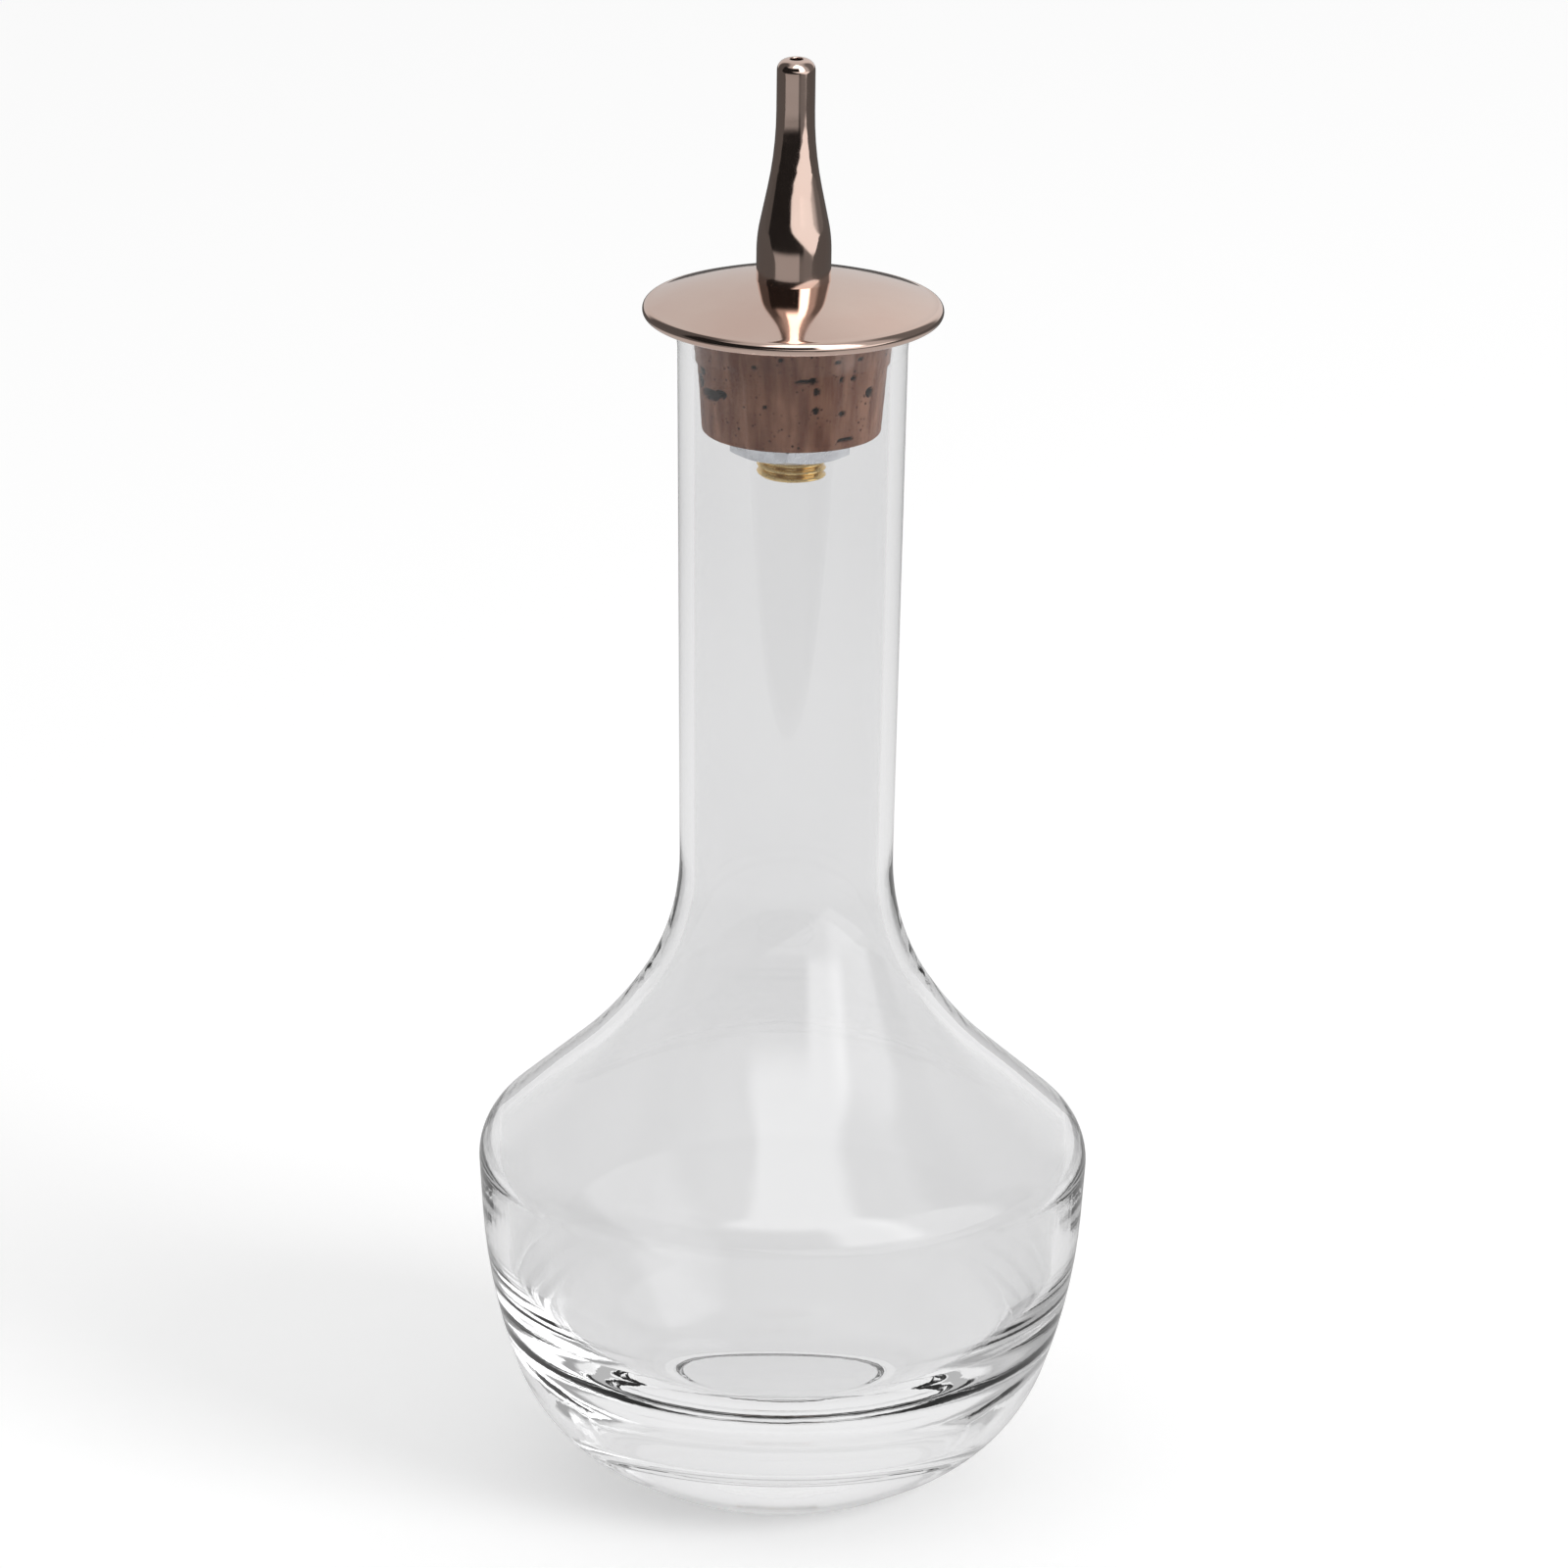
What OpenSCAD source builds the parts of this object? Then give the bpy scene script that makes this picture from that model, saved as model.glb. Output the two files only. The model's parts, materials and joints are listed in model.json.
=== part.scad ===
// Bitters bottle: a heavy-based glass bottle closed by a cork that carries a metal pouring top.
// The origin is the centre of the base, Z runs up the bottle, and sizes are in millimetres.

/* [Bottle outside] */
// Radius of the foot's corner, before rounding
foot_r = 15; // [13.8:0.1:17]
// Rounding of the foot's corner
foot_round = 5; // [2:0.5:6]
// Radius of the recess under the base
kick_r = 12.3; // [8:0.1:12.5]
// Depth of the recess under the base
kick_h = 0.9; // [0.5:0.1:1.6]
// Radius of the shoulder's edge, before rounding
body_r = 32.2; // [30:0.1:38]
// How far the lower belly's corner lies inside the shoulder's edge
side_in = 1.1; // [0.5:0.1:2]
// How far the heel's corner lies inside the shoulder's edge
heel_in = 6.5; // [5.5:0.1:8]
// Height of the heel's corner above the foot
heel_h = 6.1; // [4:0.1:8]
// Height of the lower belly's corner above the heel's
side_h = 15; // [13:0.5:20]
// Height of the shoulder's edge above the lower belly's corner
belly_h = 16.5; // [14:0.5:30]
// Height of the shoulder's slope above its edge
shoulder_h = 11.9; // [9:0.1:14]
// Height of the neck's root above the shoulder's slope
root_h = 11.5; // [9:0.5:16]
// Height of the mouth above the neck's root
neck_h = 66; // [40:1:80]
// How far the top of the shoulder's slope lies outside the neck's root
slope_out = 7.55; // [6:0.05:9]
// Rounding of the heel
heel_round = 19.8; // [8:0.1:19.9]
// Rounding of the lower belly
side_round = 60; // [20:1:62]
// Rounding of the shoulder's edge
edge_round = 5.7; // [3:0.1:8]
// Rounding of the hollow at the top of the shoulder
slope_round = 43; // [15:1:48]
// Rounding of the neck's root
root_round = 25.7; // [10:0.1:28]
// How far the lip flares out at the mouth
lip_out = 0.4; // [0.1:0.1:1]
// Height of the lip's flare
lip_h = 3; // [2:0.1:5]
// Rounding of the mouth's edges
lip_round = 0.6; // [0.2:0.1:0.7]

/* [Bottle inside] */
// Thickness of the base at the inside floor
floor_t = 8; // [5:0.5:11]
// Radius of the inside floor's corner, before rounding
floor_r = 17.5; // [15:0.5:19]
// Rounding of the inside floor's corner
floor_round = 5; // [2:0.5:6]
// Wall at the lower belly's corner, measured level
side_wall = 2.5; // [1.8:0.1:4]
// Wall of the belly
belly_wall = 2; // [1.4:0.1:3]
// Wall of the shoulder
shoulder_wall = 1.9; // [1.4:0.1:3]
// Wall at the neck's root
neck_wall = 1.5; // [1.2:0.1:2]
// Wall at the mouth
mouth_wall = 1.7; // [1.4:0.1:2.2]
// How much smaller the neck's bore is at its root than at the mouth
bore_taper = 0.6; // [0:0.1:1]
// Rounding of the inside of the lower belly
inner_side_round = 18; // [6:1:20]

/* [Cork] */
// Radius of the cork's top
cork_r = 10.1; // [9.5:0.1:12]
// How much smaller the cork's bottom is
cork_taper = 0.9; // [0.3:0.1:1.4]
// Length of the cork
cork_l = 11.8; // [8:0.1:20]
// Rounding of the cork's bottom edge
cork_round = 0.8; // [0.3:0.1:1.2]
// Gap between the cork's rim and the glass
cork_fit = 0.05; // [0.02:0.01:0.1]
// Gap between the cork and the metal that turns on it
turn_gap = 0.06; // [0.03:0.01:0.1]

/* [Metal top] */
// Radius of the disc
disc_r = 15.5; // [14:0.1:20]
// Thickness of the disc's round rim
rim_t = 1.5; // [1:0.1:2]
// Rise of the dome above the rim
dome_h = 2.65; // [1.8:0.05:3.5]
// Gap between the disc and the mouth
seat_gap = 0.1; // [0.05:0.01:0.2]
// Radius of the spout's foot
spout_r = 3.85; // [3.4:0.05:4.6]
// Radius of the spout's tip
tip_r = 1.98; // [1.7:0.02:2.4]
// Height of the spout's straight foot
spout_foot_h = 4.6; // [3:0.1:7]
// Height of the spout's taper
spout_taper_h = 9.1; // [7:0.1:14]
// Height of the spout's straight tip
spout_tip_h = 9.55; // [7:0.05:14]
// Rounding where the taper meets the straight foot
spout_shoulder_round = 15; // [5:1:20]
// Rounding where the taper meets the straight tip
spout_throat_round = 40; // [10:1:42]
// Radius of the pouring hole
hole_r = 0.7; // [0.4:0.05:1]
// Radius of the spout's inner passage
passage_r = 1.4; // [1.1:0.05:1.6]
// Depth of the narrow pouring hole below the tip
hole_l = 8; // [3:0.5:9]
// Radius of the tenon below the spout
tenon_r = 2.5; // [2.1:0.1:2.8]
// Length of the tenon inside the stem
tenon_l = 4; // [2:0.5:8]
// Clearance of the tenon in the disc and in the stem
tenon_fit = 0.02; // [0.01:0.01:0.05]

/* [Stem and nut] */
// Radius of the stem over its thread
stem_r = 3.6; // [3.3:0.05:4.2]
// Radius of the stem's passage
stem_bore_r = 2; // [1.6:0.1:2.3]
// Length of stem below the nut
stem_out = 2.7; // [1.5:0.1:6]
// Pitch of the thread
thread_pitch = 0.75; // [0.5:0.05:1]
// Depth of the thread
thread_depth = 0.4; // [0.2:0.05:0.5]
// Clearance of the nut on the thread
thread_fit = 0.02; // [0.01:0.01:0.05]
// Width of the nut across its flats
nut_af = 12; // [11:0.1:14]
// Thickness of the nut
nut_t = 2; // [1.5:0.1:4]
// Turn of the nut about the stem, in degrees
nut_turn = 3; // [0:1:30]

/* [Hidden] */
$fn = 96;
arc_step = 4;
rim_step = 15;
dome_steps = 12;
slice = 0.01;
nut_chamfer_deg = 30;

heel_r = body_r - heel_in;
side_r = body_r - side_in;
side_z = heel_h + side_h;
edge_z = side_z + belly_h;
slope_z = edge_z + shoulder_h;
root_z = slope_z + root_h;
mouth_z = root_z + neck_h;
bore_r = cork_r + cork_fit;
bore_root_r = bore_r - bore_taper;
root_r = bore_root_r + neck_wall;
mouth_r = bore_r + mouth_wall;
slope_r = root_r + slope_out;

disc_z = mouth_z + seat_gap;
dome_r = disc_r - rim_t / 2;
dome_sphere_r = (dome_r * dome_r + dome_h * dome_h) / (2 * dome_h);
dome_centre_z = disc_z + rim_t + dome_h - dome_sphere_r;
spout_z = dome_z(spout_r);
tip_z = spout_z + spout_foot_h + spout_taper_h + spout_tip_h;
tenon_z = disc_z - tenon_l;

cork_top_z = disc_z - turn_gap;
cork_z = cork_top_z - cork_l;
nut_top_z = cork_z - turn_gap;
nut_z = nut_top_z - nut_t;
stem_z = nut_z - stem_out;

// Height of the dome at a distance from its axis
function dome_z(r) = dome_centre_z + sqrt(dome_sphere_r * dome_sphere_r - r * r);

function unit(v) = v / norm(v);
function left_of(v) = [-v[1], v[0]];
function cross_of(a, b) = a[0] * b[1] - a[1] * b[0];

// Turn of the path at corner b between a and c, positive to the left
function turn_at(a, b, c) =
    atan2(cross_of(unit(b - a), unit(c - b)), unit(b - a) * unit(c - b));

// How far a rounding of radius r at corner b reaches along the sides to a and c
function reach_at(a, b, c, r) = r * tan(abs(turn_at(a, b, c)) / 2);

// Points of the arc that rounds corner b between a and c and reaches that far along both sides
function rounded(a, b, c, reach) =
    reach == 0 ? [b] :
    let (
        turn = turn_at(a, b, c),
        r = reach / tan(abs(turn) / 2),
        start = b - unit(b - a) * reach,
        centre = start + left_of(unit(b - a)) * r * sign(turn),
        steps = max(2, ceil(abs(turn) / arc_step)),
        s = start - centre
    )
    [for (i = [0 : steps])
        let (t = turn * i / steps)
        centre + [s[0] * cos(t) - s[1] * sin(t), s[0] * sin(t) + s[1] * cos(t)]];

// Outline through corners [radius, height, rounding], whose roundings shrink where a side is too short for both
function outline(k) =
    let (
        last = len(k) - 1,
        at = [for (c = k) [c[0], c[1]]],
        reach = [for (i = [0 : last])
            i == 0 || i == last ? 0 : reach_at(at[i - 1], at[i], at[i + 1], k[i][2])],
        share = [for (i = [0 : last - 1])
            min(1, norm(at[i + 1] - at[i]) / max(slice, reach[i] + reach[i + 1]))]
    )
    concat([at[0]],
        [for (i = [1 : last - 1])
            each rounded(at[i - 1], at[i], at[i + 1], reach[i] * min(share[i - 1], share[i]))],
        [at[last]]);

// Where the line a-b and the line b-c meet once moved to their left by wa and wc
function inset(a, b, c, wa, wc) =
    let (
        u = unit(b - a), v = unit(c - b),
        p = b + left_of(u) * wa, q = b + left_of(v) * wc
    )
    p + u * (cross_of(q - p, v) / cross_of(u, v));

side_at = [side_r, side_z];
edge_at = [body_r, edge_z];
slope_at = [slope_r, slope_z];
root_at = [root_r, root_z];
mouth_at = [mouth_r, mouth_z];
inner_edge = inset(side_at, edge_at, slope_at, belly_wall, shoulder_wall);
inner_slope = inset(edge_at, slope_at, root_at, shoulder_wall, shoulder_wall);
inner_root_z = inset(slope_at, root_at, mouth_at, shoulder_wall, neck_wall)[1];

function outer_corners() = [
    [0, kick_h, 0],
    [kick_r - kick_h, kick_h, 0],
    [kick_r, 0, 0],
    [foot_r, 0, foot_round],
    [heel_r, heel_h, heel_round],
    [side_r, side_z, side_round],
    [body_r, edge_z, edge_round],
    [slope_r, slope_z, slope_round],
    [root_r, root_z, root_round],
    [mouth_r, mouth_z - lip_h, lip_h],
    [mouth_r + lip_out, mouth_z, lip_round],
    [bore_r, mouth_z, lip_round / 2]];

function inner_corners() = [
    [bore_root_r, inner_root_z, root_round + neck_wall],
    [inner_slope[0], inner_slope[1], slope_round + shoulder_wall],
    [inner_edge[0], inner_edge[1], edge_round - shoulder_wall],
    [side_r - side_wall, side_z, inner_side_round],
    [floor_r, floor_t, floor_round],
    [0, floor_t, 0]];

module bottle() {
    color([0.80, 0.84, 0.86, 0.5])
        rotate_extrude()
            polygon(outline(concat(outer_corners(), inner_corners())));
}

module cork() {
    color([0.55, 0.40, 0.34])
        rotate_extrude()
            polygon(outline([
                [stem_r + turn_gap, cork_z, 0],
                [cork_r - cork_taper, cork_z, cork_round],
                [cork_r, cork_top_z, 0],
                [stem_r + turn_gap, cork_top_z, 0]]));
}

module top_disc() {
    rim_z = disc_z + rim_t / 2;
    rim = [for (t = [-90 : rim_step : 90 - rim_step])
        [dome_r, rim_z] + rim_t / 2 * [cos(t), sin(t)]];
    dome = [for (i = [dome_steps : -1 : 0])
        let (r = spout_r + (dome_r - spout_r) * i / dome_steps) [r, dome_z(r)]];
    color([0.80, 0.62, 0.56])
        rotate_extrude()
            polygon(concat(
                [[tenon_r + tenon_fit, disc_z]], rim, dome,
                [[tenon_r + tenon_fit, spout_z]]));
}

module spout() {
    wide_top_z = tip_z - hole_l;
    taper_z = spout_z + spout_foot_h;
    color([0.72, 0.50, 0.45])
        rotate_extrude()
            polygon(outline([
                [passage_r, tenon_z, 0],
                [tenon_r, tenon_z, 0],
                [tenon_r, spout_z, 0],
                [spout_r, spout_z, 0],
                [spout_r, taper_z, spout_shoulder_round],
                [tip_r, taper_z + spout_taper_h, spout_throat_round],
                [tip_r, tip_z, tip_r - hole_r],
                [hole_r, tip_z, 0],
                [hole_r, wide_top_z, 0],
                [passage_r, wide_top_z - (passage_r - hole_r), 0]]));
}

// Half outline of one thread groove below height z
function groove(z) = [
    [stem_r, z], [stem_r - thread_depth, z - thread_pitch / 2]];

module stem() {
    thread_l = nut_t + stem_out;
    grooves = floor(thread_l / thread_pitch);
    thread = [for (i = [0 : grooves - 1]) each groove(nut_top_z - i * thread_pitch)];
    color([0.80, 0.62, 0.30])
        rotate_extrude()
            polygon(concat(
                [[stem_bore_r, stem_z], [stem_bore_r, tenon_z]],
                [[tenon_r + tenon_fit, tenon_z], [tenon_r + tenon_fit, disc_z]],
                [[stem_r, disc_z]], thread,
                [[stem_r, nut_top_z - grooves * thread_pitch], [stem_r - thread_depth, stem_z]]));
}

module lock_nut() {
    corner_r = nut_af / 2 / cos(30);
    chamfer = (corner_r - nut_af / 2) * tan(nut_chamfer_deg);
    color([0.66, 0.67, 0.69])
        translate([0, 0, nut_z])
            difference() {
                intersection() {
                    rotate(-90 - nut_turn) cylinder(r = corner_r, h = nut_t, $fn = 6);
                    rotate_extrude()
                        polygon([
                            [0, 0], [nut_af / 2, 0], [corner_r, chamfer],
                            [corner_r, nut_t - chamfer], [nut_af / 2, nut_t], [0, nut_t]]);
                }
                translate([0, 0, -slice])
                    cylinder(r = stem_r + thread_fit, h = nut_t + 2 * slice);
            }
}

bottle();
cork();
top_disc();
spout();
stem();
lock_nut();
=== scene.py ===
"""Looks of the bitters bottle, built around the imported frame.

Z runs up the bottle, the foot's centre is the origin, and the photograph is taken from the -Y side. Outlines
are written in millimetres and become metres when their mesh is made.
"""

import json
import logging
import math
import random
from dataclasses import dataclass
from enum import Enum

import bmesh
import bpy
from mathutils import Matrix, Vector, noise

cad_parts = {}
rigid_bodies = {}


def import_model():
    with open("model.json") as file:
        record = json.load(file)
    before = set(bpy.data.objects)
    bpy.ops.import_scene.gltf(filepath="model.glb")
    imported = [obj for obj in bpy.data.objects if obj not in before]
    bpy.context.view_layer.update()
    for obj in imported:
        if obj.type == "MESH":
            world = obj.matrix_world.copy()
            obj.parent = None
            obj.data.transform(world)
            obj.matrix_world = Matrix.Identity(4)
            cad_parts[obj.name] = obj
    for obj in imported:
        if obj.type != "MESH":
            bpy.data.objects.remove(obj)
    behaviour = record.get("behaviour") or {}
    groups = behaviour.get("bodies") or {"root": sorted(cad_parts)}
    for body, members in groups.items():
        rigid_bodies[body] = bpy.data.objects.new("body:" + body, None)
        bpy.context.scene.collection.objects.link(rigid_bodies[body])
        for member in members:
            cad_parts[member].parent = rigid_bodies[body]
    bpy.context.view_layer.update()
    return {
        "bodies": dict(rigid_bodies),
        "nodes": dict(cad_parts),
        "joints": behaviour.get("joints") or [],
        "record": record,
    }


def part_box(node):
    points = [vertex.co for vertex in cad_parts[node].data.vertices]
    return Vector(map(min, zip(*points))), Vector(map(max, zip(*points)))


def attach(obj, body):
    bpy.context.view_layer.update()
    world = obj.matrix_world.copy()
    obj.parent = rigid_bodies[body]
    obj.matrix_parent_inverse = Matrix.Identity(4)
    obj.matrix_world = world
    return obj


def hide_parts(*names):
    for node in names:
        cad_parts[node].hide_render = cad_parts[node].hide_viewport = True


MM = 0.001
ON_AXIS = 1e-6
MICROMETRE_DIGITS = 3
HALF_TURN = 180.0
FULL_TURN = 360.0
ARC_STEP = 2.5
LEAST_ARC_STEPS = 3
STRAIGHT_PART = 4
WHITE = (1.0, 1.0, 1.0, 1.0)
# Point attribute for how deep each point lies; the cork and brass finishes paint it as shade in pits and
# thread roots.
PAINTED_SHADE_MASK = "pit"

Point = tuple[float, float]
Corner = tuple[float, float, float]
Colour = tuple[float, float, float, float]

log = logging.getLogger("bitters_bottle")


class Slot(Enum):
    """Material slots of the record."""

    GLASS = "glass"
    CORK = "cork"
    COPPER = "copper_plate"
    BRASS = "brass"
    ZINC = "zinc_plate"


class Body(Enum):
    """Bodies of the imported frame."""

    GLASS = "glass_body"
    STOPPER = "stopper"
    TOP = "pouring_top"


# Outlines


def turn_between(before: Vector, after: Vector) -> float:
    """Return the turn in radians from one direction to the next, positive to the left."""
    return math.atan2(before.x * after.y - before.y * after.x, before.dot(after))


def arc_at(a: Vector, b: Vector, c: Vector, reach: float, step: float) -> list[Vector]:
    """Round one corner of an outline.

    Args:
        a: The corner before.
        b: The corner to round.
        c: The corner after.
        reach: How far the arc reaches along both sides.
        step: The largest turn between two points, in radians.

    Returns:
        The points of the arc, from the side towards a to the side towards c.
    """
    into = (b - a).normalized()
    turn = turn_between(into, (c - b).normalized())
    if reach <= 0 or abs(turn) < step / STRAIGHT_PART:
        return [b]
    radius = reach / math.tan(abs(turn) / 2)
    start = b - into * reach
    centre = start + Vector((-into.y, into.x)) * math.copysign(radius, turn)
    steps = max(LEAST_ARC_STEPS, math.ceil(abs(turn) / step))
    arm = start - centre
    points = []
    for i in range(steps + 1):
        angle = turn * i / steps
        cos, sin = math.cos(angle), math.sin(angle)
        points.append(centre + Vector((arm.x * cos - arm.y * sin, arm.x * sin + arm.y * cos)))
    return points


def rounded_outline(corners: list[Corner], step_deg: float = ARC_STEP) -> list[Point]:
    """Round the corners of an outline, and share a side that is too short for both of its roundings.

    Args:
        corners: Radius, height and rounding of each corner.
        step_deg: The largest turn between two points of an arc, in degrees.

    Returns:
        Radius and height of each point.
    """
    at = [Vector((r, z)) for r, z, _ in corners]
    last = len(at) - 1
    reach = [0.0] * (last + 1)
    for i in range(1, last):
        turn = turn_between((at[i] - at[i - 1]).normalized(), (at[i + 1] - at[i]).normalized())
        reach[i] = corners[i][2] * math.tan(abs(turn) / 2)
    share = []
    for i in range(last):
        wanted = reach[i] + reach[i + 1]
        share.append(min(1.0, (at[i + 1] - at[i]).length / wanted) if wanted > 0 else 1.0)
    points = [at[0]]
    for i in range(1, last):
        kept = reach[i] * min(share[i - 1], share[i])
        points += arc_at(at[i - 1], at[i], at[i + 1], kept, math.radians(step_deg))
    points.append(at[last])
    return [(p.x, p.y) for p in points]


def spaced(points: list[Point], longest: float) -> list[Point]:
    """Divide the sides of an outline.

    Args:
        points: Radius and height of each point.
        longest: The longest side that may stay whole.

    Returns:
        The outline with points added on its long sides.
    """
    out = [points[0]]
    for (r0, z0), (r1, z1) in zip(points, points[1:]):
        length = math.hypot(r1 - r0, z1 - z0)
        if length < ON_AXIS:
            continue
        parts = max(1, math.ceil(length / longest))
        out += [(r0 + (r1 - r0) * i / parts, z0 + (z1 - z0) * i / parts) for i in range(1, parts + 1)]
    return out


def inset_corner(a: Point, b: Point, c: Point, near: float, far: float) -> Point:
    """Move the sides a-b and b-c to their left and return where they meet.

    Args:
        a: The corner before.
        b: The corner between.
        c: The corner after.
        near: How far a-b moves.
        far: How far b-c moves.

    Returns:
        Radius and height of the new corner.
    """
    va, vb, vc = Vector(a), Vector(b), Vector(c)
    u = (vb - va).normalized()
    v = (vc - vb).normalized()
    p = vb + Vector((-u.y, u.x)) * near
    q = vb + Vector((-v.y, v.x)) * far
    gap = q - p
    along = (gap.x * v.y - gap.y * v.x) / (u.x * v.y - u.y * v.x)
    meet = p + u * along
    return (meet.x, meet.y)


# Meshes


def mesh_object(name: str, verts: list[tuple], faces: list[tuple]) -> bpy.types.Object:
    """Make a smooth object whose faces look outwards.

    Args:
        name: The object's name.
        verts: The corners, in metres.
        faces: The faces as rows of corner numbers.

    Returns:
        The new object, linked to the scene.
    """
    mesh = bpy.data.meshes.new(name)
    mesh.from_pydata(verts, [], faces)
    work = bmesh.new()
    work.from_mesh(mesh)
    bmesh.ops.remove_doubles(work, verts=work.verts, dist=ON_AXIS)
    bmesh.ops.recalc_face_normals(work, faces=work.faces)
    work.to_mesh(mesh)
    work.free()
    mesh.shade_smooth()
    obj = bpy.data.objects.new(name, mesh)
    bpy.context.scene.collection.objects.link(obj)
    return obj


def revolve(name: str, outline: list[Point], segments: int, closed: bool) -> bpy.types.Object:
    """Turn an outline about the Z axis.

    Args:
        name: The object's name.
        outline: Radius and height of each point, in millimetres.
        segments: How many steps go round.
        closed: Whether the last point joins the first, as on a ring.

    Returns:
        The new object.
    """
    verts: list[tuple] = []
    rings: list[list[int]] = []
    for r, z in outline:
        first = len(verts)
        if r < ON_AXIS:
            verts.append((0.0, 0.0, z * MM))
            rings.append([first] * segments)
            continue
        for k in range(segments):
            angle = math.tau * k / segments
            verts.append((r * MM * math.cos(angle), r * MM * math.sin(angle), z * MM))
        rings.append(list(range(first, first + segments)))
    followers = rings[1:] + ([rings[0]] if closed else [])
    faces = []
    for ring, follower in zip(rings, followers):
        for k in range(segments):
            n = (k + 1) % segments
            corners = (ring[k], ring[n], follower[n], follower[k])
            faces.append(tuple(dict.fromkeys(corners)))
    return mesh_object(name, verts, faces)


def sharpen(obj: bpy.types.Object, degrees: float) -> None:
    """Keep the edges crisp where two faces meet at more than this angle."""
    obj.data.set_sharp_from_angle(angle=math.radians(degrees))


# Node wiring


class Wiring:
    """Short calls for adding and joining the nodes of one tree."""

    def __init__(self, tree: bpy.types.NodeTree) -> None:
        """Work on a tree as it stands."""
        self.tree = tree

    def join(self, node: bpy.types.Node, key: str | int, value: object) -> None:
        """Join a socket to a node's input, or set the input to a plain value.

        Args:
            node: The node.
            key: The input's name or number.
            value: The socket or the plain value.
        """
        if isinstance(value, bpy.types.NodeSocket):
            self.tree.links.new(value, node.inputs[key])
        else:
            node.inputs[key].default_value = value

    def add(self, kind: str, inputs: dict | None = None, **settings: object) -> bpy.types.Node:
        """Add a node.

        Args:
            kind: The node's type.
            inputs: Sockets to join, or plain values to set, by input name or number.
            settings: The node's own settings.

        Returns:
            The new node.
        """
        node = self.tree.nodes.new(kind)
        for key, value in settings.items():
            setattr(node, key, value)
        for key, value in (inputs or {}).items():
            self.join(node, key, value)
        return node

    def math(self, operation: str, *values: object) -> bpy.types.NodeSocket:
        """Add a Math node and return its output."""
        return self.add("ShaderNodeMath", dict(enumerate(values)), operation=operation).outputs[0]

    def mix(self, factor: object, low: object, high: object) -> bpy.types.NodeSocket:
        """Blend two numbers and return the output."""
        return self.add("ShaderNodeMix", {0: factor, 2: low, 3: high}).outputs[0]

    def blend(self, factor: object, low: object, high: object) -> bpy.types.NodeSocket:
        """Blend two colours and return the output."""
        node = self.add("ShaderNodeMix", {0: factor, 6: low, 7: high}, data_type="RGBA")
        return node.outputs[2]

    def clamped(self, value: object) -> bpy.types.NodeSocket:
        """Keep a number between 0 and 1 and return the output."""
        return self.add("ShaderNodeClamp", {0: value}).outputs[0]

    def ranged(
        self,
        value: object,
        source: tuple[float, float],
        target: tuple[object, object],
        **settings: object,
    ) -> bpy.types.NodeSocket:
        """Map one range of a number onto another.

        Args:
            value: The number.
            source: Where its own range starts and ends.
            target: What that start and that end become.
            settings: The node's own settings.

        Returns:
            The mapped number.
        """
        inputs = dict(enumerate((value, *source, *target)))
        return self.add("ShaderNodeMapRange", inputs, **settings).outputs[0]

    def group(self, tree: bpy.types.NodeTree, **inputs: object) -> bpy.types.NodeSocket:
        """Place a shared group and return its output."""
        return self.add("ShaderNodeGroup", inputs, node_tree=tree).outputs[0]

    def mask(self) -> bpy.types.NodeSocket:
        """Return the painted shade that a mesh carries on its points, from how deep each point lies."""
        return self.add("ShaderNodeAttribute", attribute_name=PAINTED_SHADE_MASK).outputs["Fac"]

    def place(self) -> bpy.types.NodeSocket:
        """Return the place on the object, in metres."""
        return self.add("ShaderNodeTexCoord").outputs["Object"]


def start_group(name: str, inputs: dict[str, float]) -> tuple[Wiring, dict, bpy.types.Node]:
    """Start a shared group with numbers going in and one number coming out.

    Args:
        name: The group's name.
        inputs: The starting value of each input, by name.

    Returns:
        The group's wiring, its inputs by name and its output node.
    """
    tree = bpy.data.node_groups.new(name, "ShaderNodeTree")
    for key, value in inputs.items():
        socket = tree.interface.new_socket(name=key, in_out="INPUT", socket_type="NodeSocketFloat")
        socket.default_value = value
    tree.interface.new_socket(name="Value", in_out="OUTPUT", socket_type="NodeSocketFloat")
    wire = Wiring(tree)
    given = wire.add("NodeGroupInput").outputs
    return wire, {key: given[key] for key in inputs}, wire.add("NodeGroupOutput")


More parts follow.
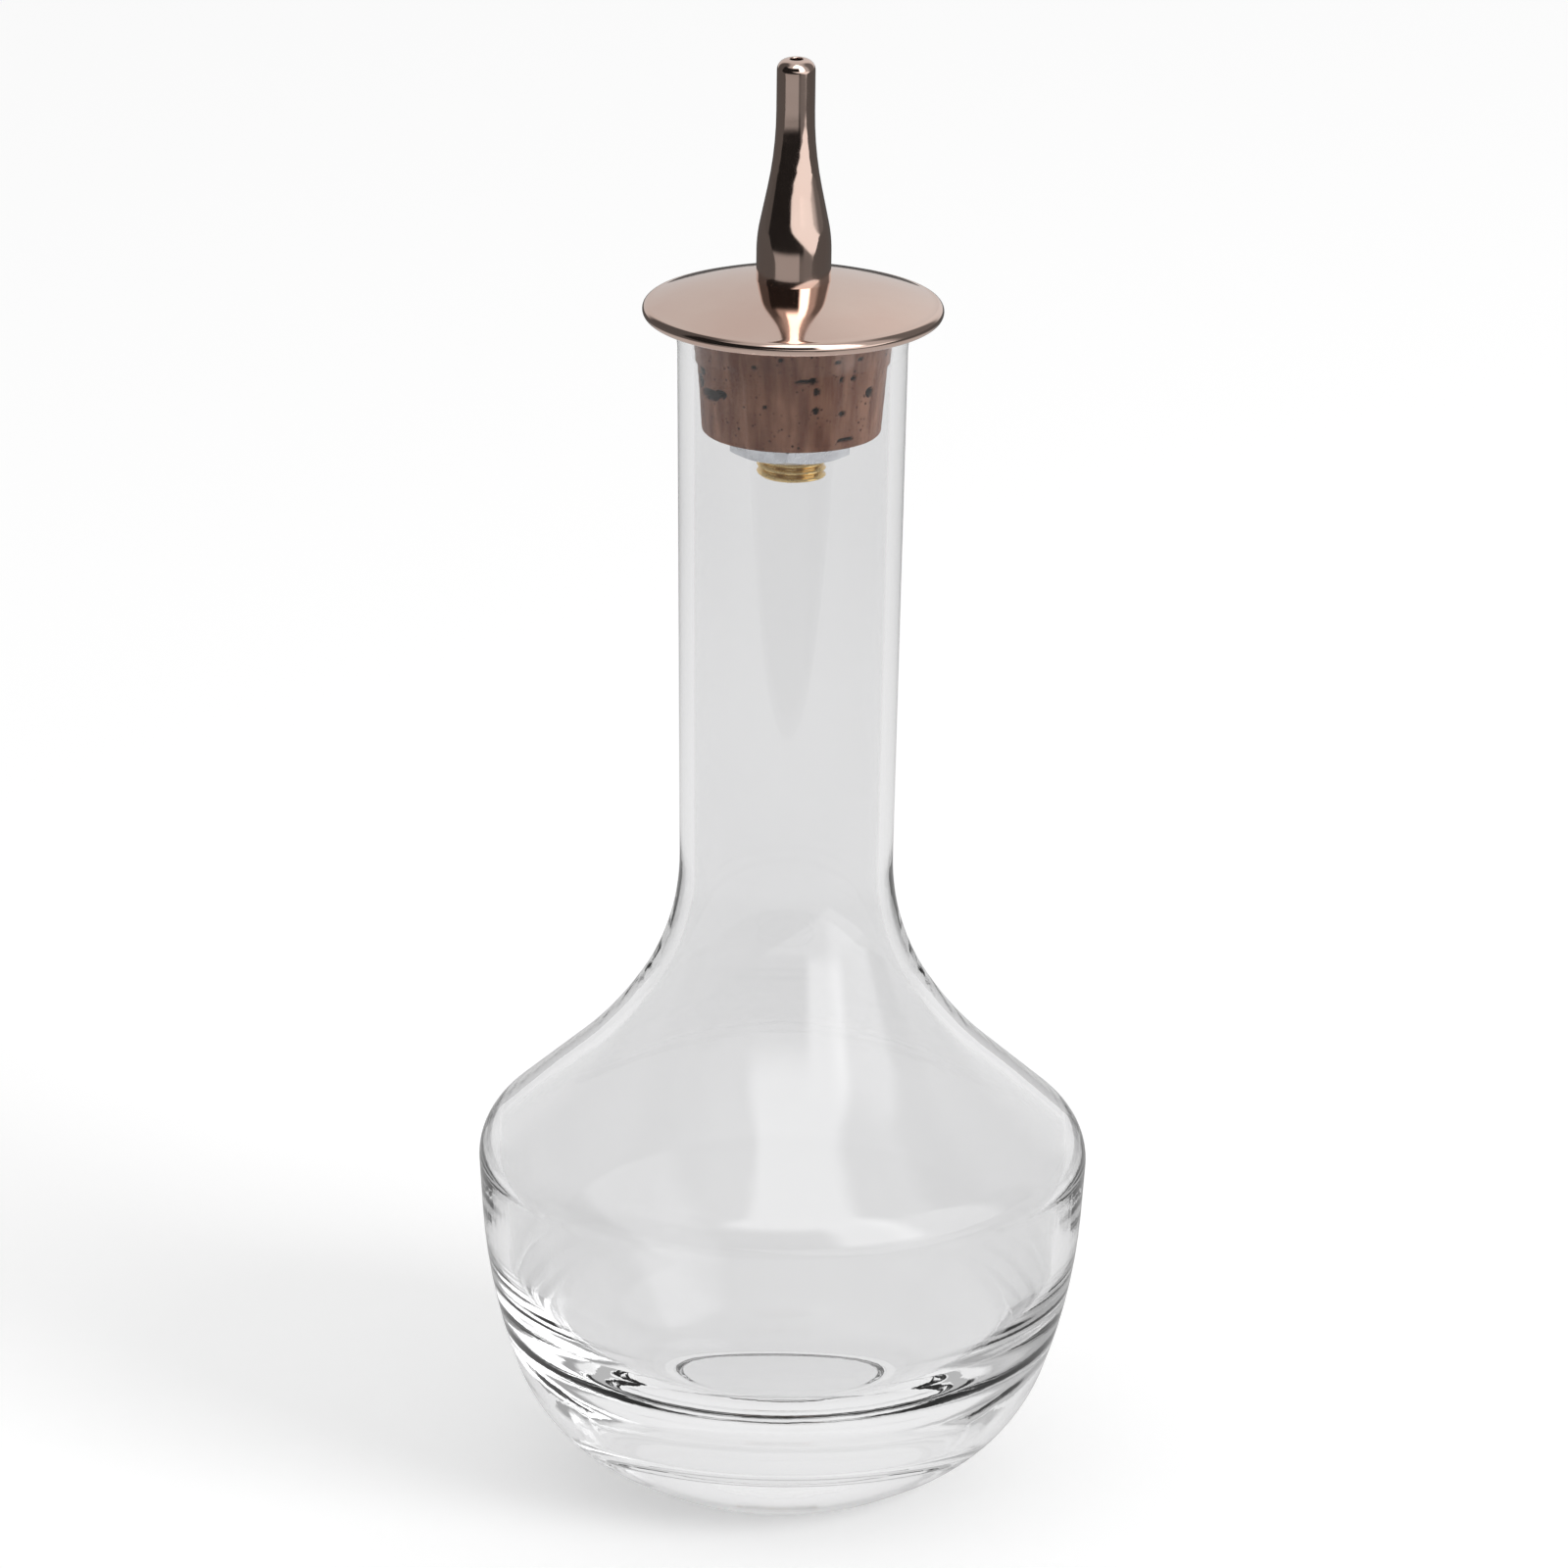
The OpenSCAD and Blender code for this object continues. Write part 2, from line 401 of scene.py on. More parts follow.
class SharedEffects:
    """Node groups that more than one finish uses."""

    MIDDLE = 0.5
    STREAK_DETAIL = 3.0
    CLOUD_DETAIL = 4.0
    CLOUD_RANGE = (0.3, 0.7)

    def __init__(self) -> None:
        """Build each group once."""
        self.streaks = self.make_streaks()
        self.mottling = self.make_mottling()

    def make_streaks(self) -> bpy.types.NodeTree:
        """Make lines that run up the piece: drawn glass, polish marks and cork's growth lines.

        Returns:
            The group, whose value lies between 0 and 1.
        """
        wire, given, out = start_group("streaks", {"Across": 900.0, "Along": 20.0, "Contrast": 1.0})
        axes = {0: given["Across"], 1: given["Across"], 2: given["Along"]}
        scale = wire.add("ShaderNodeCombineXYZ", axes).outputs[0]
        stretched = wire.add("ShaderNodeVectorMath", {0: wire.place(), 1: scale}, operation="MULTIPLY")
        cloud = wire.add(
            "ShaderNodeTexNoise",
            {"Vector": stretched.outputs[0], "Scale": 1.0, "Detail": self.STREAK_DETAIL},
        )
        centred = wire.math("SUBTRACT", cloud.outputs[0], self.MIDDLE)
        spread = wire.math("MULTIPLY_ADD", centred, given["Contrast"], self.MIDDLE)
        wire.join(out, "Value", wire.clamped(spread))
        return wire.tree

    def make_mottling(self) -> bpy.types.NodeTree:
        """Make soft clouds between two values: uneven polish, smudges and stains.

        Returns:
            The group, whose value lies between Low and High.
        """
        wire, given, out = start_group("mottling", {"Scale": 200.0, "Low": 0.0, "High": 1.0})
        cloud = wire.add(
            "ShaderNodeTexNoise",
            {"Vector": wire.place(), "Scale": given["Scale"], "Detail": self.CLOUD_DETAIL},
        )
        level = wire.ranged(cloud.outputs[0], self.CLOUD_RANGE, (given["Low"], given["High"]))
        wire.join(out, "Value", level)
        return wire.tree


# Finishes


def start_material(name: str) -> tuple[bpy.types.Material, Wiring, bpy.types.Node]:
    """Make a material that holds one Principled shader.

    Args:
        name: The material's name.

    Returns:
        The material, its wiring and its shader.
    """
    material = bpy.data.materials.new(name)
    material.use_nodes = True
    material.node_tree.nodes.clear()
    wire = Wiring(material.node_tree)
    shader = wire.add("ShaderNodeBsdfPrincipled")
    wire.add("ShaderNodeOutputMaterial", {"Surface": shader.outputs[0]})
    return material, wire, shader


@dataclass(frozen=True)
class Relief:
    """A fine relief: how strongly the light follows it, and its depth in metres."""

    strength: float
    depth: float

    def apply(self, wire: Wiring, shader: bpy.types.Node, height: bpy.types.NodeSocket) -> None:
        """Join a height to the shader's normal.

        Args:
            wire: The material's wiring.
            shader: The material's shader.
            height: The height to follow.
        """
        inputs = {"Height": height, "Strength": self.strength, "Distance": self.depth}
        wire.join(shader, "Normal", wire.add("ShaderNodeBump", inputs).outputs[0])


@dataclass(frozen=True)
class UnevenPolish:
    """A roughness that drifts between smooth and worn, in clouds of one scale."""

    scale: float
    smooth: float
    worn: float

    def apply(self, wire: Wiring, shader: bpy.types.Node, effects: SharedEffects) -> None:
        """Join the polish to the shader's roughness.

        Args:
            wire: The material's wiring.
            shader: The material's shader.
            effects: The shared groups.
        """
        level = wire.group(effects.mottling, Scale=self.scale, Low=self.smooth, High=self.worn)
        wire.join(shader, "Roughness", level)


@dataclass(frozen=True)
class ClearGlass:
    """Blown glass, a little uneven in tint, with faint lines that run up it."""

    tint: Colour = (0.885, 0.885, 0.888, 1.0)
    cloudy_tint: Colour = (0.86, 0.86, 0.864, 1.0)
    cloud_scale: float = 40.0
    ior: float = 1.5
    lines_across: float = 260.0
    lines_along: float = 9.0
    relief: Relief = Relief(strength=0.35, depth=0.00004)

    def material(self, effects: SharedEffects) -> bpy.types.Material:
        """Build the finish.

        Args:
            effects: The shared groups.

        Returns:
            The material.
        """
        material, wire, shader = start_material("clear_glass")
        cloud = wire.group(effects.mottling, Scale=self.cloud_scale)
        wire.join(shader, "Base Color", wire.blend(cloud, self.cloudy_tint, self.tint))
        wire.join(shader, "Transmission Weight", 1.0)
        wire.join(shader, "Roughness", 0.0)
        wire.join(shader, "IOR", self.ior)
        lines = wire.group(effects.streaks, Across=self.lines_across, Along=self.lines_along)
        self.relief.apply(wire, shader, lines)
        return material


@dataclass(frozen=True)
class CopperPlate:
    """Polished rose copper plate, a little warmer in clouds, with fine polish marks."""

    colour: Colour = (0.87, 0.67, 0.58, 1.0)
    warm_colour: Colour = (0.84, 0.62, 0.53, 1.0)
    cloud_scale: float = 130.0
    polish: UnevenPolish = UnevenPolish(scale=300.0, smooth=0.055, worn=0.10)
    mark_scale: float = 2500.0
    relief: Relief = Relief(strength=0.05, depth=0.00002)

    def material(self, effects: SharedEffects) -> bpy.types.Material:
        """Build the finish.

        Args:
            effects: The shared groups.

        Returns:
            The material.
        """
        material, wire, shader = start_material("copper_plate")
        cloud = wire.group(effects.mottling, Scale=self.cloud_scale)
        wire.join(shader, "Base Color", wire.blend(cloud, self.warm_colour, self.colour))
        wire.join(shader, "Metallic", 1.0)
        self.polish.apply(wire, shader, effects)
        marks = wire.group(effects.streaks, Across=self.mark_scale, Along=self.mark_scale)
        self.relief.apply(wire, shader, marks)
        return material


@dataclass(frozen=True)
class NaturalCork:
    """Natural cork with growth lines, stains and dark specks, and painted shade in the pits of its mesh that
    darkens with their depth.
    """

    pale: Colour = (0.60, 0.31, 0.205, 1.0)
    brown: Colour = (0.26, 0.11, 0.07, 1.0)
    # Colour of the dark specks, and of the painted shade at the bottom of the pits.
    dark: Colour = (0.02, 0.008, 0.005, 1.0)
    lines_across: float = 900.0
    lines_along: float = 130.0
    line_contrast: float = 2.6
    stain_scale: float = 420.0
    stain_share: float = 0.35
    speck_scale: float = 1500.0
    speck_reach: tuple[float, float] = (0.12, 0.30)
    speck_cloud_scale: float = 700.0
    speck_cloud_low: float = -0.6
    specular: float = 0.15
    polish: UnevenPolish = UnevenPolish(scale=600.0, smooth=0.6, worn=0.85)
    relief: Relief = Relief(strength=0.4, depth=0.00008)

    def material(self, effects: SharedEffects) -> bpy.types.Material:
        """Build the finish.

        Args:
            effects: The shared groups.

        Returns:
            The material.
        """
        material, wire, shader = start_material("natural_cork")
        lines = wire.group(
            effects.streaks,
            Across=self.lines_across,
            Along=self.lines_along,
            Contrast=self.line_contrast,
        )
        stains = wire.group(effects.mottling, Scale=self.stain_scale)
        ground = wire.blend(lines, self.brown, self.pale)
        ground = wire.blend(wire.math("MULTIPLY", stains, self.stain_share), ground, self.brown)
        specks = self.specks(wire, effects)
        # Painted shade in the pits, darker the deeper they are, plus the cork's own dark specks.
        shade = wire.clamped(wire.math("ADD", wire.mask(), specks))
        wire.join(shader, "Base Color", wire.blend(shade, ground, self.dark))
        wire.join(shader, "Specular IOR Level", self.specular)
        self.polish.apply(wire, shader, effects)
        self.relief.apply(wire, shader, wire.math("SUBTRACT", stains, specks))
        return material

    def specks(self, wire: Wiring, effects: SharedEffects) -> bpy.types.NodeSocket:
        """Scatter dark specks in some places and none in others.

        Args:
            wire: The material's wiring.
            effects: The shared groups.

        Returns:
            How dark each place is with specks, from 0 to 1.
        """
        grains = wire.add("ShaderNodeTexVoronoi", {"Vector": wire.place(), "Scale": self.speck_scale})
        speck = wire.ranged(grains.outputs["Distance"], self.speck_reach, (1.0, 0.0))
        some = wire.group(effects.mottling, Scale=self.speck_cloud_scale, Low=self.speck_cloud_low)
        return wire.math("MULTIPLY", speck, wire.math("MAXIMUM", some, 0.0))


@dataclass(frozen=True)
class TurnedBrass:
    """Turned brass, stained in clouds, with painted shade in the roots of its thread."""

    colour: Colour = (0.83, 0.62, 0.30, 1.0)
    # Colour of the stains, and of the painted shade in the thread's roots.
    dull_colour: Colour = (0.55, 0.37, 0.15, 1.0)
    stain_scale: float = 500.0
    stain_share: float = 0.4
    polish: UnevenPolish = UnevenPolish(scale=900.0, smooth=0.16, worn=0.3)

    def material(self, effects: SharedEffects) -> bpy.types.Material:
        """Build the finish.

        Args:
            effects: The shared groups.

        Returns:
            The material.
        """
        material, wire, shader = start_material("turned_brass")
        stains = wire.group(effects.mottling, Scale=self.stain_scale)
        # Stains in clouds, plus painted shade that grows with how deep the thread cuts.
        stain_and_thread_shade = wire.clamped(wire.math("MULTIPLY_ADD", stains, self.stain_share, wire.mask()))
        wire.join(shader, "Base Color", wire.blend(stain_and_thread_shade, self.colour, self.dull_colour))
        wire.join(shader, "Metallic", 1.0)
        self.polish.apply(wire, shader, effects)
        return material


@dataclass(frozen=True)
class ZincPlate:
    """Bright zinc plate with a faint satin."""

    colour: Colour = (0.74, 0.76, 0.79, 1.0)
    dull_colour: Colour = (0.56, 0.57, 0.60, 1.0)
    cloud_scale: float = 350.0
    polish: UnevenPolish = UnevenPolish(scale=800.0, smooth=0.16, worn=0.32)
    satin_scale: float = 3000.0
    relief: Relief = Relief(strength=0.1, depth=0.00002)

    def material(self, effects: SharedEffects) -> bpy.types.Material:
        """Build the finish.

        Args:
            effects: The shared groups.

        Returns:
            The material.
        """
        material, wire, shader = start_material("zinc_plate")
        cloud = wire.group(effects.mottling, Scale=self.cloud_scale)
        wire.join(shader, "Base Color", wire.blend(cloud, self.dull_colour, self.colour))
        wire.join(shader, "Metallic", 1.0)
        self.polish.apply(wire, shader, effects)
        satin = wire.group(effects.streaks, Across=self.satin_scale, Along=self.satin_scale)
        self.relief.apply(wire, shader, satin)
        return material


# Sub-assemblies


@dataclass(frozen=True)
class Span:
    """Where a piece starts and ends along Z, in millimetres."""

    low: float
    high: float

    @classmethod
    def of(cls, node: str) -> "Span":
        """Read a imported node's heights from the frame, to the micrometre."""
        return cls(*(round(corner.z / MM, MICROMETRE_DIGITS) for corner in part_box(node)))


def dress(obj: bpy.types.Object, material: bpy.types.Material, body: Body, node: str) -> None:
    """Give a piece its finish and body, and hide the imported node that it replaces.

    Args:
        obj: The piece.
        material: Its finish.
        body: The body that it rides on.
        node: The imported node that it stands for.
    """
    obj.data.materials.clear()
    obj.data.materials.append(material)
    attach(obj, body.value)
    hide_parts(node)
    log.info("%s: %d faces, rides %s, for node %s", obj.name, len(obj.data.polygons), body.value, node)


@dataclass
class GlassBottle:
    """The blown bottle: heavy base, sloping shoulder, long neck. Sizes in millimetres."""

    mouth_z: float
    kick_r: float = 12.3
    kick_h: float = 0.9
    kick_round: float = 0.8
    foot_r: float = 15.0
    foot_round: float = 5.0
    heel: Corner = (25.7, 6.1, 19.8)
    side: Corner = (31.1, 21.1, 60.0)
    edge: Corner = (32.2, 37.6, 5.7)
    slope: Corner = (18.6, 49.5, 43.0)
    root: Corner = (11.05, 61.0, 25.7)
    mouth_r: float = 11.85
    bore_r: float = 10.15
    bore_root_r: float = 9.55
    lip_out: float = 0.4
    lip_h: float = 3.0
    lip_round: float = 0.6
    belly_wall: float = 2.0
    shoulder_wall: float = 1.9
    neck_wall: float = 1.5
    side_wall: float = 2.5
    inner_side_round: float = 18.0
    floor: Corner = (17.5, 8.0, 5.0)
    segments: int = 168
    side_length: float = 1.3

    def outline(self) -> list[Point]:
        """Draw the wall: up the outside, over the lip and down the inside.

        Returns:
            Radius and height of each point.
        """
        side, edge, slope, root = (corner[:2] for corner in (self.side, self.edge, self.slope, self.root))
        mouth = (self.mouth_r, self.mouth_z)
        in_edge = inset_corner(side, edge, slope, self.belly_wall, self.shoulder_wall)
        in_slope = inset_corner(edge, slope, root, self.shoulder_wall, self.shoulder_wall)
        in_root = inset_corner(slope, root, mouth, self.shoulder_wall, self.neck_wall)
        corners = [
            (0.0, self.kick_h, 0.0),
            (self.kick_r - self.kick_h, self.kick_h, self.kick_round),
            (self.kick_r, 0.0, self.kick_round),
            (self.foot_r, 0.0, self.foot_round),
            self.heel,
            self.side,
            self.edge,
            self.slope,
            self.root,
            (self.mouth_r, self.mouth_z - self.lip_h, self.lip_h),
            (self.mouth_r + self.lip_out, self.mouth_z, self.lip_round),
            (self.bore_r, self.mouth_z, self.lip_round / 2),
            (self.bore_root_r, in_root[1], self.root[2] + self.neck_wall),
            (*in_slope, self.slope[2] + self.shoulder_wall),
            (*in_edge, self.edge[2] - self.shoulder_wall),
            (self.side[0] - self.side_wall, self.side[1], self.inner_side_round),
            self.floor,
            (0.0, self.floor[1], 0.0),
        ]
        return spaced(rounded_outline(corners), self.side_length)

    def build(self, glass: bpy.types.Material) -> None:
        """Build and dress the bottle."""
        bottle = revolve("glass_bottle", self.outline(), self.segments, closed=False)
        dress(bottle, glass, Body.GLASS, "bottle")


@dataclass(frozen=True)
class CorkPit:
    """One pit in the cork's side.

    Turn is in degrees from the front, positive to the right. Height is above the cork's lower end. The
    height and the half sizes are in millimetres.
    """

    turn: float
    height: float
    wide: float
    tall: float
    deep: float

    def depth_at(self, turn: float, height: float, radius: float) -> float:
        """Work out how deep the pit is at one place.

        Args:
            turn: The place's turn from the front, in degrees.
            height: Its height above the cork's lower end.
            radius: Its distance from the axis.

        Returns:
            The depth in millimetres, 0 outside the pit.
        """
        off = (turn - self.turn + HALF_TURN) % FULL_TURN - HALF_TURN
        across = math.radians(off) * radius / self.wide
        up = (height - self.height) / self.tall
        far = math.sqrt(across * across + up * up)
        return self.deep * max(0.0, 1.0 - far * far)


FRONT_PITS = [
    CorkPit(11.6, 8.0, 0.45, 0.40, 0.45),
    CorkPit(14.0, 6.8, 0.35, 0.45, 0.35),
    CorkPit(37.0, 7.8, 0.35, 0.30, 0.35),
    CorkPit(29.3, 7.8, 0.30, 0.35, 0.35),
    CorkPit(50.2, 5.9, 0.55, 0.55, 0.45),
    CorkPit(14.0, 4.7, 0.45, 0.30, 0.35),
    CorkPit(30.7, 4.1, 0.40, 0.35, 0.35),
    CorkPit(34.2, 1.2, 1.10, 0.25, 0.35),
    CorkPit(-22.1, 9.3, 0.35, 0.30, 0.20),
    CorkPit(-6.8, 10.3, 0.30, 0.25, 0.20),
    CorkPit(40.9, 9.9, 0.40, 0.25, 0.20),
    CorkPit(26.0, 9.9, 0.40, 0.25, 0.20),
    CorkPit(-56.0, 5.2, 1.60, 0.65, 0.60),
    CorkPit(-46.0, 5.6, 0.90, 0.50, 0.50),
    CorkPit(-68.0, 6.2, 1.10, 0.80, 0.45),
    CorkPit(-63.0, 7.4, 0.70, 0.50, 0.35),
    CorkPit(8.0, 7.9, 1.30, 0.25, 0.30),
    CorkPit(-16.0, 5.0, 0.20, 0.30, 0.25),
]


@dataclass
class CorkStopper:
    """The tapered cork with its hole for the stem. Sizes in millimetres, angles in degrees."""

    span: Span
    top_r: float = 10.1
    bottom_r: float = 9.2
    hole_r: float = 3.66
    edge_round: float = 0.8
    edge_step: float = 12.0
    segments: int = 300
    side_length: float = 0.2
    hole_side_length: float = 2.0
    crease: float = 50.0
    grain_depth: float = 0.05
    grain_scale: float = 1.6
    # Pit depth at which the painted shade is darkest.
    full_shade_depth: float = 0.12
    seed: int = 11
    back_pits: int = 46
    back_turns: tuple[float, float] = (70.0, 290.0)
    back_heights: tuple[float, float] = (0.8, 11.0)
    back_sizes: tuple[float, float] = (0.22, 0.6)
    back_stretch: tuple[float, float] = (0.8, 2.2)
    back_depth_share: float = 0.8

    def pits(self) -> list[CorkPit]:
        """List the pits that the front shows, then made-up ones for the sides and back.

        Returns:
            The pits.
        """
        draw = random.Random(self.seed)
        pits = list(FRONT_PITS)
        for _ in range(self.back_pits):
            turn = draw.uniform(*self.back_turns)
            height = draw.uniform(*self.back_heights)
            size = draw.uniform(*self.back_sizes)
            wide = size * draw.uniform(*self.back_stretch)
            pits.append(CorkPit(turn, height, wide, size, size * self.back_depth_share))
        return pits

    def build(self, cork: bpy.types.Material) -> None:
        """Build, roughen and dress the cork.

        Args:
            cork: The finish.
        """
        corners = [
            (self.hole_r, self.span.low, 0.0),
            (self.bottom_r, self.span.low, self.edge_round),
            (self.top_r, self.span.high, 0.0),
            (self.hole_r, self.span.high, 0.0),
        ]
        outline = spaced(rounded_outline(corners, self.edge_step), self.side_length)
        inside = [(self.hole_r, self.span.high), (self.hole_r, self.span.low)]
        outline += spaced(inside, self.hole_side_length)[1:-1]
        piece = revolve("cork_stopper", outline, self.segments, closed=True)
        self.roughen(piece)
        sharpen(piece, self.crease)
        dress(piece, cork, Body.STOPPER, "cork")

    def roughen(self, piece: bpy.types.Object) -> None:
        """Press the pits and a fine grain into the cork's side, and mark the depth at each point, which the
        cork's finish paints as shade.

        Args:
            piece: The smooth cork.
        """
        pits = self.pits()
        mask = piece.data.attributes.new(PAINTED_SHADE_MASK, "FLOAT", "POINT")
        for vertex in piece.data.vertices:
            x, y, z = (value / MM for value in vertex.co)
            radius = math.hypot(x, y)
            if radius < self.bottom_r - self.edge_round:
                continue
            turn = math.degrees(math.atan2(x, -y))
            height = z - self.span.low
            depth = max(pit.depth_at(turn, height, radius) for pit in pits)
            grain = self.grain_depth * (0.5 + 0.5 * noise.noise(Vector((x, y, z)) * self.grain_scale))
            scale = (radius - depth - grain) / radius
            vertex.co.x *= scale
            vertex.co.y *= scale
            # Painted shade: the deeper the pit, the darker the cork's colour there.
            mask.data[vertex.index].value = min(1.0, depth / self.full_shade_depth)


@dataclass
class PouringDisc:
    """The domed disc over the mouth. Sizes in millimetres, angles in degrees."""

    under_z: float
    radius: float = 15.5
    rim_t: float = 1.5
    dome_h: float = 2.65
    hole_r: float = 2.52
    segments: int = 192
    dome_steps: int = 28
    rim_steps: int = 20
    side_length: float = 1.5
    crease: float = 40.0

    @property
    def dome_r(self) -> float:
        """Radius at which the dome meets the round rim."""
        return self.radius - self.rim_t / 2

    def dome_z(self, r: float) -> float:
        """Return the height of the dome's surface at a radius."""
        sphere = (self.dome_r**2 + self.dome_h**2) / (2 * self.dome_h)
        return self.under_z + self.rim_t + self.dome_h - sphere + math.sqrt(sphere**2 - r**2)

    def outline(self) -> list[Point]:
        """Draw the disc: out under it, round the rim and in over the dome.

        Returns:
            Radius and height of each point.
        """
        half = self.rim_t / 2
        points = spaced([(self.hole_r, self.under_z), (self.dome_r, self.under_z)], self.side_length)
        for i in range(1, self.rim_steps):
            angle = math.pi * (i / self.rim_steps - 0.5)
            out, up = half * math.cos(angle), half * math.sin(angle)
            points.append((self.dome_r + out, self.under_z + half + up))
        for i in range(self.dome_steps + 1):
            r = self.dome_r + (self.hole_r - self.dome_r) * i / self.dome_steps
            points.append((r, self.dome_z(r)))
        return points

    def build(self, copper: bpy.types.Material) -> None:
        """Build and dress the disc.

        Args:
            copper: The finish.
        """
        piece = revolve("pouring_disc", self.outline(), self.segments, closed=True)
        sharpen(piece, self.crease)
        dress(piece, copper, Body.TOP, "top_disc")


@dataclass
class DashSpout:
    """The hollow tapered spout and its tenon. Sizes in millimetres, angles in degrees."""

    foot_r: float = 3.85
    tip_r: float = 1.98
    foot_h: float = 4.6
    taper_h: float = 9.1
    tip_h: float = 9.55
    shoulder_round: float = 15.0
    throat_round: float = 40.0
    hole_r: float = 0.7
    hole_l: float = 8.0
    hole_round: float = 0.12
    passage_r: float = 1.4
    tenon_r: float = 2.5
    tenon_l: float = 4.0
    end_side: float = 0.5
    segments: int = 128
    side_length: float = 0.6
    crease: float = 40.0

    def build(self, disc: PouringDisc, copper: bpy.types.Material) -> None:
        """Build and dress the spout on its disc.

        Args:
            disc: The disc that carries it.
            copper: The finish.
        """
        foot_z = disc.dome_z(self.foot_r)
        taper_z = foot_z + self.foot_h
        tip_z = taper_z + self.taper_h + self.tip_h
        tenon_z = disc.under_z - self.tenon_l
        wide_z = tip_z - self.hole_l
        corners = [
            (self.passage_r, tenon_z, 0.0),
            (self.tenon_r, tenon_z, 0.0),
            (self.tenon_r, foot_z, 0.0),
            (self.foot_r, foot_z, 0.0),
            (self.foot_r, taper_z, self.shoulder_round),
            (self.tip_r, taper_z + self.taper_h, self.throat_round),
            (self.tip_r, tip_z, self.tip_r - self.hole_r - self.hole_round),
            (self.hole_r, tip_z, self.hole_round),
            (self.hole_r, wide_z, 0.0),
            (self.passage_r, wide_z - (self.passage_r - self.hole_r), 0.0),
            (self.passage_r, tenon_z + self.end_side, 0.0),
        ]
        outline = spaced(rounded_outline(corners), self.side_length)
        piece = revolve("dash_spout", outline, self.segments, closed=True)
        sharpen(piece, self.crease)
        dress(piece, copper, Body.TOP, "spout")


@dataclass
class ThreadedStem:
    """The brass tube through the cork, threaded below it. Sizes in millimetres, angles in degrees."""

    span: Span
    thread_top_z: float
    socket_z: float
    socket_r: float
    radius: float = 3.6
    bore_r: float = 2.0
    pitch: float = 0.75
    depth: float = 0.4
    segments: int = 96
    steps_per_pitch: int = 10
    surface_band: float = 0.1
    slack: float = 0.01
    crease: float = 70.0

    def outline(self) -> list[Point]:
        """Draw the tube: out at its lower end, up the outside and down into the spout's socket.

        Returns:
            Radius and height of each point.
        """
        step = self.pitch / self.steps_per_pitch
        count = round((self.thread_top_z - self.span.low) / step)
        points = [(self.bore_r, self.span.low)]
        points += [(self.radius, self.span.low + step * i) for i in range(count + 1)]
        points += [(self.radius, self.span.high), (self.socket_r, self.span.high)]
        points += [(self.socket_r, self.socket_z), (self.bore_r, self.socket_z)]
        return points

    def cut_thread(self, piece: bpy.types.Object) -> None:
        """Cut one helical thread that runs out under the cork, and mark how deep each point lies, which the
        brass finish paints as shade.

        Args:
            piece: The plain tube.
        """
        mask = piece.data.attributes.new(PAINTED_SHADE_MASK, "FLOAT", "POINT")
        for vertex in piece.data.vertices:
            x, y, z = (value / MM for value in vertex.co)
            if math.hypot(x, y) < self.radius - self.surface_band or z > self.thread_top_z + self.slack:
                continue
            run_out = min(1.0, (self.thread_top_z - z) / self.pitch)
            phase = ((z - self.span.low) / self.pitch + math.atan2(y, x) / math.tau) % 1.0
            cut = (1.0 - abs(2.0 * phase - 1.0)) * run_out
            scale = 1.0 - self.depth * cut / self.radius
            vertex.co.x *= scale
            vertex.co.y *= scale
            # Painted shade in the thread's roots, strongest at the deepest cut.
            mask.data[vertex.index].value = cut**2

    def build(self, brass: bpy.types.Material) -> None:
        """Build and dress the stem.

        Args:
            brass: The finish.
        """
        piece = revolve("threaded_stem", self.outline(), self.segments, closed=True)
        self.cut_thread(piece)
        sharpen(piece, self.crease)
        dress(piece, brass, Body.TOP, "stem")


@dataclass
class LockNut:
    """The hex nut under the cork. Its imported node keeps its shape."""

    node: str = "lock_nut"

    def build(self, frame: dict, zinc: bpy.types.Material) -> None:
        """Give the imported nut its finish.

        Args:
            frame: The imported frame.
            zinc: The finish.
        """
        nut = frame["nodes"][self.node]
        nut.data.materials.clear()
        nut.data.materials.append(zinc)
        log.info("%s: packed node kept, new finish", self.node)


# Studio


@dataclass(frozen=True)
class Panel:
    """A soft-edged bright or dark panel of the surroundings.

    Azimuth is measured from the camera's side, positive to its right, and all angles are in degrees. Lean is
    how far the panel shifts in azimuth for each degree of elevation.
    """

    azimuth: float
    elevation: float
    half_wide: float
    half_high: float
    soft: float
    level: float
    lean: float = 0.0


DARK_BELOW = Panel(0.0, -50.0, 180.0, 46.0, 5.0, 0.17)
DIM_LEFT = Panel(-118.0, 5.0, 50.0, 60.0, 10.0, 0.09)
DIM_RIGHT = Panel(122.0, 0.0, 38.0, 60.0, 10.0, 0.15)
PALE_BACK = Panel(180.0, 25.0, 40.0, 70.0, 8.0, 0.60)
BRIGHT_BACK = Panel(160.0, 10.0, 14.0, 40.0, 12.0, 0.72)
BLACK_FRONT = Panel(-30.0, 15.0, 60.0, 28.0, 4.0, 0.015)
TALL_RIGHT = Panel(50.0, -1.0, 34.0, 12.0, 3.0, 1.0, -3.3)
PALE_TABLE = Panel(-38.0, -36.0, 55.0, 24.0, 2.5, 0.36)
OVERHEAD = Panel(14.0, 69.0, 44.0, 17.0, 8.0, 3.0)
HIGH_RIGHT = Panel(38.0, 38.0, 16.0, 26.0, 6.0, 3.4)

HAZY_FRONT = Panel(-15.0, 10.0, 70.0, 45.0, 20.0, 0.42)
PALE_LEFT = Panel(-98.0, 0.0, 10.0, 60.0, 8.0, 0.6)
BRIGHT_RIGHT = Panel(72.0, 22.0, 24.0, 34.0, 8.0, 2.4)
PALE_RIGHT = Panel(104.0, 0.0, 10.0, 60.0, 6.0, 0.4)

